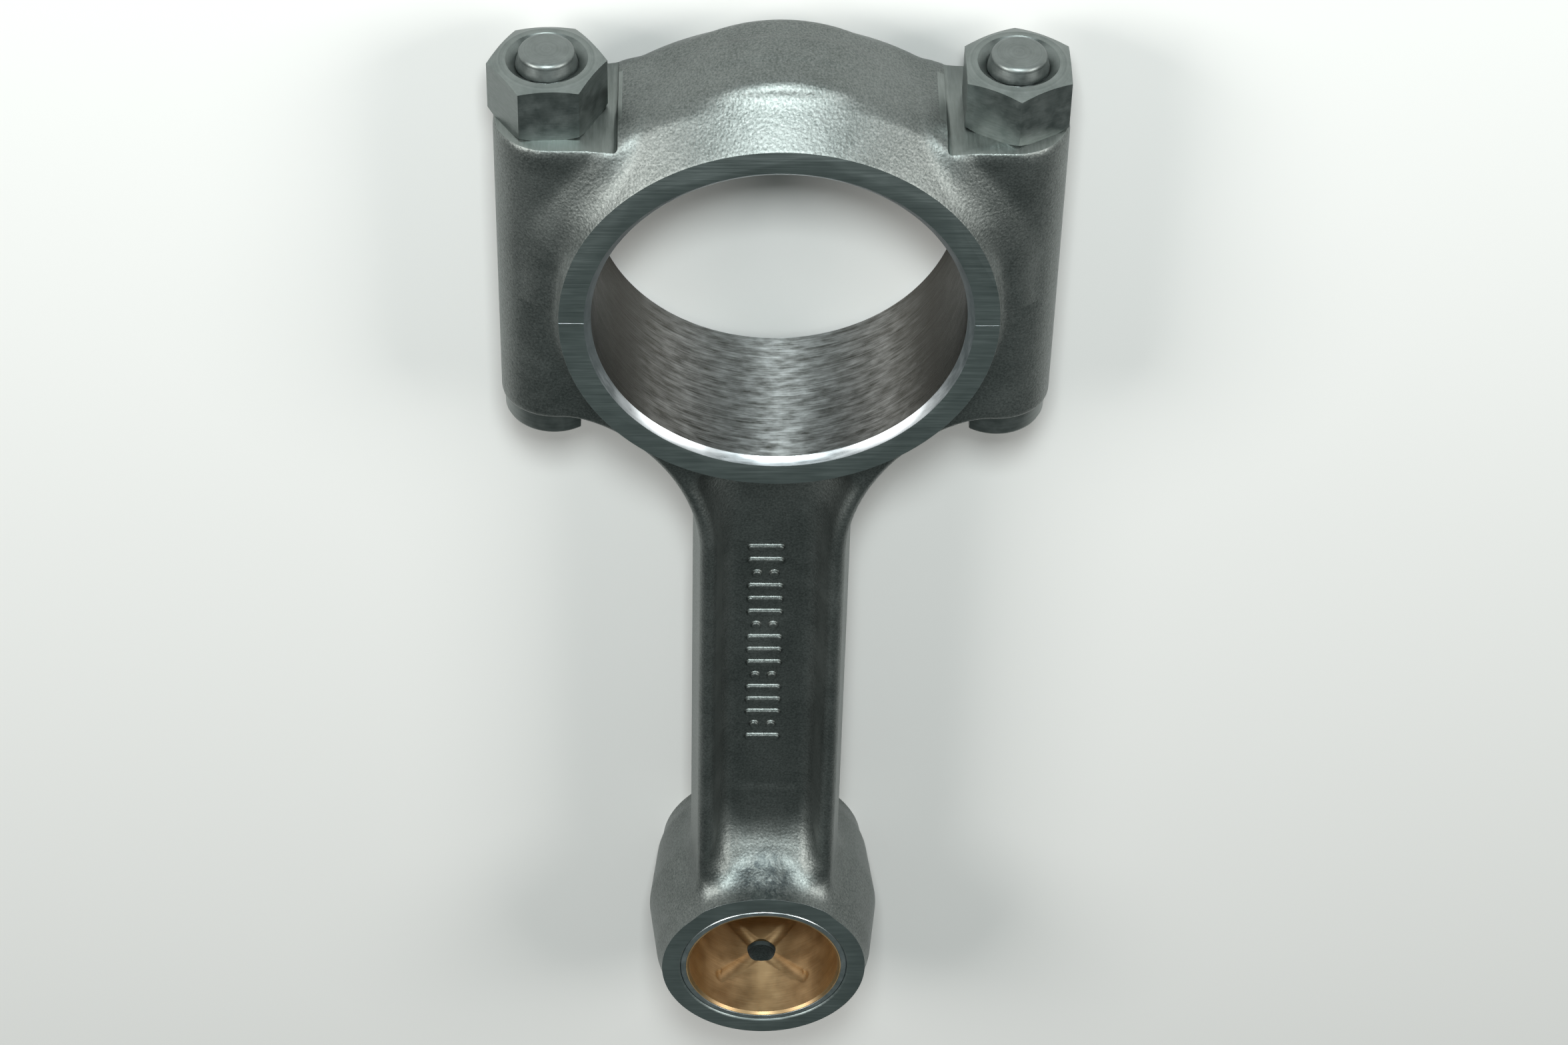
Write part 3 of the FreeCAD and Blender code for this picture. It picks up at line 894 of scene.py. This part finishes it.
def honed_steel():
    """Housing bore, honed around its axis, with painted brown shade and reflection on its sides
    towards the split.
    """
    mat, tree, shader = material("honed_bore", (0.5, 0.5, 0.48), 0.3)
    lines = noise(tree, around_bore(tree, 0.0, BIG_BORE_R, 26.0), 95, 6.0, 0.75, 0.5)
    patches = noise(tree, around_bore(tree, 0.0, BIG_BORE_R, 2.5), 240, 3.0, 0.6)
    fine = noise(tree, around_bore(tree, 0.0, BIG_BORE_R, 14.0), 480, 4.0, 0.7)
    shade = ramp(tree, weigh(tree, lines, 0.6, patches, 0.4), 0.36, 0.64, 0, 1)
    color = blend_colors(tree, shade, (0.06, 0.06, 0.052), (0.42, 0.44, 0.44))
    # Painted shade and reflection: the bore's sides turn dark brown towards the split, where they
    # face away from the light.
    across = add(tree, "ShaderNodeSeparateXYZ", {0: object_coordinates(tree)}).outputs[0]
    stain_and_shade = ramp(tree, math_node(tree, "ABSOLUTE", across), 0.010, 0.030, 0.0, 0.85)
    color = blend_colors(tree, stain_and_shade, color, BORE_SHADE_BROWN)
    tree.links.new(color, shader.inputs["Base Color"])
    tree.links.new(ramp(tree, patches, 0.35, 0.7, 0.35, 0.47), shader.inputs["Roughness"])
    comb_around(tree, shader, 0.9)
    bump(tree, shader, weigh(tree, lines, 1.0, fine, 0.6), 0.8, 0.09)
    return mat


def bored_bronze():
    """Bronze, bored to size with fine rings."""
    mat, tree, shader = material("bored_bronze", (0.55, 0.37, 0.18), 0.3)
    rings = noise(tree, around_bore(tree, SMALL_Y, PIN_R, 40.0), 130, 4.0, 0.6)
    clouds = noise(tree, object_coordinates(tree), 160, 3.0)
    shade = ramp(tree, weigh(tree, rings, 0.5, clouds, 0.5), 0.35, 0.65, 0, 1)
    color = blend_colors(tree, shade, (0.42, 0.275, 0.135), (0.60, 0.43, 0.24))
    tree.links.new(color, shader.inputs["Base Color"])
    tree.links.new(ramp(tree, clouds, 0.3, 0.7, 0.42, 0.52), shader.inputs["Roughness"])
    comb_around(tree, shader, 0.7)
    bump(tree, shader, rings, 0.5, 0.03)
    return mat


def turned_steel(name, dark, light, roughness):
    """Steel turned on a lathe about the bolt axes, with fine rings."""
    mat, tree, shader = material(name, light, roughness)
    parts = add(tree, "ShaderNodeSeparateXYZ", {0: object_coordinates(tree)}).outputs
    off = math_node(tree, "SUBTRACT", math_node(tree, "ABSOLUTE", parts[0]), BOLT_X * MM)
    squares = weigh(tree, off, off, parts[2], parts[2])
    radius = math_node(tree, "SQRT", squares)
    place = add(tree, "ShaderNodeCombineXYZ", {0: radius, 1: parts[1]}).outputs[0]
    rings = noise(tree, place, 2200, 3.0, 0.6)
    clouds = noise(tree, object_coordinates(tree), 350, 4.0, 0.65)
    shade = weigh(tree, rings, 0.4, clouds, 0.6)
    color = blend_colors(tree, ramp(tree, shade, 0.35, 0.65, 0, 1), dark, light)
    tree.links.new(color, shader.inputs["Base Color"])
    dull = ramp(tree, clouds, 0.3, 0.7, roughness - 0.05, roughness + 0.1)
    tree.links.new(dull, shader.inputs["Roughness"])
    bump(tree, shader, weigh(tree, rings, 1.0, clouds, 0.5), 0.4, 0.03)
    return mat


def put(obj, mat):
    """Material on the whole piece."""
    obj.data.materials.clear()
    obj.data.materials.append(mat)


def stand_for(obj, node, body):
    """The piece replaces a CAD node and rides on its body."""
    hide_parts(node)
    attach(obj, body)


def paint_machining(obj):
    """Gives each machined face of a forging its own finish, by where it lies."""
    mesh = obj.data
    count = len(mesh.polygons)
    centres = np.empty(count * 3)
    normals = np.empty(count * 3)
    mesh.polygons.foreach_get("center", centres)
    mesh.polygons.foreach_get("normal", normals)
    x, y, z = centres.reshape(-1, 3).T / MM
    ny, nz = normals.reshape(-1, 3).T[1:]
    big_r = np.hypot(x, y)
    small_r = np.hypot(x, y - SMALL_Y)
    slots = np.full(count, FORGED)
    slots[(np.abs(nz) > 0.999) & (np.abs(z) > HALF - 0.01)] = SIDE_FACE
    slots[(np.abs(big_r - BIG_BORE_R) < 0.15) & (np.abs(nz) < 0.05)] = BORE
    in_chamfer = (big_r < BIG_BORE_R + BIG_CHAMFER + 0.1) & (np.abs(nz) > 0.3) & (np.abs(nz) < 0.9)
    slots[in_chamfer & (np.abs(z) > HALF - BIG_CHAMFER - 0.2)] = BRIGHT
    slots[(small_r < BUSH_R + 0.5) & (np.abs(nz) < 0.9)] = SIDE_FACE
    slots[(np.abs(ny) > 0.999) & (np.abs(np.abs(y) - SPLIT_GAP) < 0.01)] = SIDE_FACE
    slots[(np.abs(ny) > 0.999) & (np.abs(y - SEAT_Y) < 0.01)] = SEAT
    slots[(np.abs(ny) > 0.999) & (np.abs(y - HEAD_SEAT_Y) < 0.01)] = SEAT
    slots[(np.abs(np.abs(x) - SEAT_WALL_X) < 1.0) & (y > SEAT_Y) & (np.abs(nz) < 0.01)] = SEAT
    bolt_r = np.hypot(np.abs(x) - BOLT_X, z)
    slots[(np.abs(bolt_r - BOLT_R) < 0.3) & (np.abs(ny) < 0.01)] = BRIGHT
    mesh.polygons.foreach_set("material_index", slots.astype(np.int32))


forging_skin = forged_steel("forged_steel", (0.105, 0.118, 0.113), (0.225, 0.243, 0.235))
side_face = ground_steel("side_face", (0.24, 0.28, 0.275), (0.335, 0.385, 0.38), 0.36)
bore_face = honed_steel()
bright_cut = ground_steel(
    "bright_cut", (0.34, 0.365, 0.38), (0.44, 0.47, 0.49), 0.32, grain=(250, 250, 2600), relief=0.1)
seat_face = ground_steel(
    "milled_seat", (0.17, 0.19, 0.18), (0.26, 0.285, 0.275), 0.38, grain=(2600, 90, 300))
nut_steel = turned_steel("nut_steel", (0.155, 0.178, 0.172), (0.235, 0.26, 0.252), 0.38)
bolt_steel = turned_steel("bolt_steel", (0.15, 0.168, 0.163), (0.225, 0.248, 0.242), 0.42)
bush_steel = turned_steel("bush_steel", (0.34, 0.38, 0.39), (0.48, 0.52, 0.53), 0.33)
bronze = bored_bronze()

rod = build_rod()
cap = build_cap()
lining = build_lining()
back = build_back()
nut_left = build_nut("nut_left", -BOLT_X, NUT_TURN_LEFT)
nut_right = build_nut("nut_right", BOLT_X, NUT_TURN_RIGHT)
bolt_left = build_bolt("bolt_left", -1)
bolt_right = build_bolt("bolt_right", 1)

for piece in (rod, cap):
    put(piece, forging_skin)
    for extra in (side_face, bore_face, bright_cut, seat_face):
        piece.data.materials.append(extra)
    paint_machining(piece)
    for axis, value in ((2, HALF), (2, -HALF)):
        break_edges(piece, axis, value, EDGE_BREAK, BRIGHT)
break_edges(rod, 1, -SPLIT_GAP, 0.05, SIDE_FACE)
break_edges(cap, 1, SPLIT_GAP, 0.05, SIDE_FACE)
break_edges(cap, 1, SEAT_Y, 0.08, SEAT)
for piece in (rod, cap):
    smooth(piece)
for piece in (nut_left, nut_right):
    put(piece, nut_steel)
for piece in (bolt_left, bolt_right):
    put(piece, bolt_steel)
put(back, bush_steel)
put(lining, bronze)

stand_for(rod, "rod_forging", "rod")
stand_for(cap, "bearing_cap", "cap")
stand_for(lining, "bush_bronze_lining", "rod")
stand_for(back, "bush_steel_back", "rod")
stand_for(nut_left, "left_nut", "nut_on_left")
stand_for(nut_right, "right_nut", "nut_on_right")
stand_for(bolt_left, "left_bolt", "rod")
stand_for(bolt_right, "right_bolt", "rod")


# ---------------------------------------------------------------- stage

VIEW_ELEVATION = math.radians(44.40)    # from the bores' middle plane
VIEW_AZIMUTH = math.radians(-1.88)
VIEW_ROLL = math.radians(1.55)
VIEW_DISTANCE = 853.88
VIEW_TARGET = (2.443, -69.306, 0)
VIEW_LENS = 98.04
FLOOR_HALF = 4.0                        # in metres
FILL_SIZE = 500
FILL_COLOR = (1.0, 0.98, 0.95)


def add_floor():
    """Plain pale floor under the rod."""
    size = FLOOR_HALF
    z = cad_box[0][2]
    mesh = bpy.data.meshes.new("floor")
    corners = [(-size, -size, z), (size, -size, z), (size, size, z), (-size, size, z)]
    mesh.from_pydata(corners, [], [(0, 1, 2, 3)])
    floor = bpy.data.objects.new("floor", mesh)
    bpy.context.scene.collection.objects.link(floor)
    put(floor, material("floor", (0.60, 0.60, 0.59), 0.9, 0.0)[0])


def aim(obj, target):
    """Points an object's -Z at a target."""
    direction = Vector(target) - obj.location
    obj.rotation_euler = direction.to_track_quat("-Z", "Y").to_euler()


def add_area(name, location, target, size, power, color=(1, 1, 1)):
    """Square area light, placed in millimetres and given its power in watts."""
    data = bpy.data.lights.new(name, "AREA")
    data.size = size * MM
    data.energy = power
    data.color = color
    light = bpy.data.objects.new(name, data)
    bpy.context.scene.collection.objects.link(light)
    light.location = Vector(location) * MM
    aim(light, Vector(target) * MM)


def add_camera():
    """Camera on the cap's side, looking down at the rod, with the cap at the top."""
    flat = math.cos(VIEW_ELEVATION)
    back_dir = Vector((
        math.sin(VIEW_AZIMUTH) * flat,
        math.sin(VIEW_ELEVATION),
        math.cos(VIEW_AZIMUTH) * flat,
    ))
    right = Vector((0, 1, 0)).cross(back_dir).normalized()
    up = back_dir.cross(right)
    cosine = math.cos(VIEW_ROLL)
    sine = math.sin(VIEW_ROLL)
    rolled_right = right * cosine + up * sine
    rolled_up = up * cosine - right * sine
    rotation = Matrix((rolled_right, rolled_up, back_dir)).transposed()
    data = bpy.data.cameras.new("camera")
    data.sensor_width = 36.0
    data.lens = VIEW_LENS
    data.clip_start = 0.01
    camera = bpy.data.objects.new("camera", data)
    bpy.context.scene.collection.objects.link(camera)
    place = (Vector(VIEW_TARGET) + back_dir * VIEW_DISTANCE) * MM
    camera.matrix_world = Matrix.Translation(place) @ rotation.to_4x4()
    bpy.context.scene.camera = camera


def add_world():
    """Even pale surroundings."""
    world = bpy.data.worlds.new("studio")
    world.use_nodes = True
    background = world.node_tree.nodes["Background"]
    background.inputs["Color"].default_value = (0.85, 1.0, 0.97, 1)
    background.inputs["Strength"].default_value = 0.15
    bpy.context.scene.world = world
    bpy.context.scene.view_settings.view_transform = "Standard"


add_floor()
add_camera()
add_world()
add_area("key", (-15, 596, 544), (0, 20, 0), 130, 7, (0.93, 1.0, 1.0))
add_area("left_fill", (-900, 420, 720), (0, -60, 0), FILL_SIZE, 11, FILL_COLOR)
add_area("right_fill", (900, 420, 720), (0, -60, 0), FILL_SIZE, 9, FILL_COLOR)
